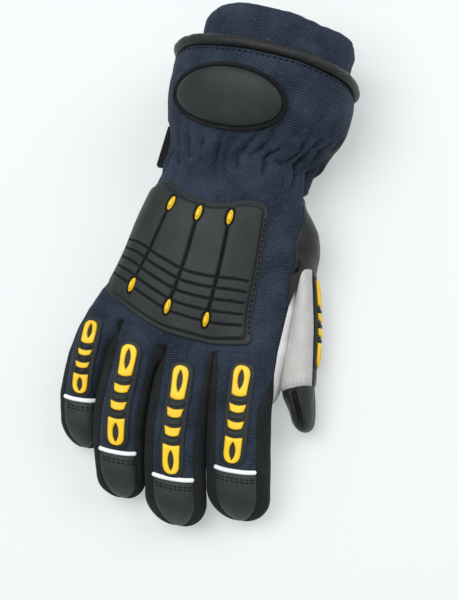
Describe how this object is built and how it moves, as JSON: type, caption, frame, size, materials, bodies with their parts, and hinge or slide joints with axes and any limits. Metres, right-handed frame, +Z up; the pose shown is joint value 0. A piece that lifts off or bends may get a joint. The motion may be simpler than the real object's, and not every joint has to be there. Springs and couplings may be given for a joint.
{
  "type": "rescue glove",
  "caption": "Right-hand rescue glove lying palm down: gathered gauntlet with knit inner cuff, moulded guards on the hand back, fingers and thumb, leather palm.",
  "frame": {"origin": "middle of the footprint, on the surface the glove lies on, palm down", "axes": "+Z up out of the back of the hand, +Y from the fingertips towards the cuff, +X towards the thumb side"},
  "size_m": [0.1518, 0.3008, 0.0854],
  "materials": {
    "navy_fabric": "matt ribbed weave",
    "navy_knit": "thick matt knit",
    "grey_leather": "matt suede-like leather",
    "black_leather": "semi-matt grain",
    "black_fabric": "matt",
    "black_rubber": "satin moulded",
    "yellow_rubber": "satin moulded",
    "reflective_white": "bright reflective tape"
  },
  "bodies": {
    "root": {"back_panel": "navy_fabric", "badge_border": "black_fabric", "badge_pad": "black_rubber", "cap_index": "black_leather", "cap_middle": "black_leather", "cap_pinky": "black_leather", "cap_ring": "black_leather", "cuff_binding": "black_leather", "gauntlet_underside": "black_leather", "guard_bar_lower_index": "yellow_rubber", "guard_bar_lower_middle": "yellow_rubber", "guard_bar_lower_pinky": "yellow_rubber", "guard_bar_lower_ring": "yellow_rubber", "guard_bar_lower_thumb": "yellow_rubber", "guard_bar_upper_index": "yellow_rubber", "guard_bar_upper_middle": "yellow_rubber", "guard_bar_upper_pinky": "yellow_rubber", "guard_bar_upper_ring": "yellow_rubber", "guard_bar_upper_thumb": "yellow_rubber", "guard_base_index": "black_rubber", "guard_base_middle": "black_rubber", "guard_base_pinky": "black_rubber", "guard_base_ring": "black_rubber", "guard_base_thumb": "black_rubber", "guard_head_index": "yellow_rubber", "guard_head_middle": "yellow_rubber", "guard_head_pinky": "yellow_rubber", "guard_head_ring": "yellow_rubber", "guard_head_thumb": "yellow_rubber", "guard_tail_index": "yellow_rubber", "guard_tail_middle": "yellow_rubber", "guard_tail_pinky": "yellow_rubber", "guard_tail_ring": "yellow_rubber", "guard_tail_thumb": "yellow_rubber", "hand_plate": "black_rubber", "knit_cuff": "navy_knit", "palm_panel": "grey_leather", "piping_index": "reflective_white", "piping_middle": "reflective_white", "piping_pinky": "reflective_white", "piping_ring": "reflective_white", "plate_oval_1": "yellow_rubber", "plate_oval_2": "yellow_rubber", "plate_oval_3": "yellow_rubber", "plate_oval_4": "yellow_rubber", "plate_oval_5": "yellow_rubber", "plate_oval_6": "yellow_rubber", "side_index_outer": "black_fabric", "side_middle_index": "black_fabric", "side_pinky_outer": "black_fabric", "side_pinky_ring": "black_fabric", "side_ring_middle": "black_fabric", "side_tab": "black_fabric", "thumb_back": "black_leather", "thumb_cap": "black_leather", "thumb_palm": "grey_leather", "thumb_saddle": "black_leather"}
  },
  "joints": []
}
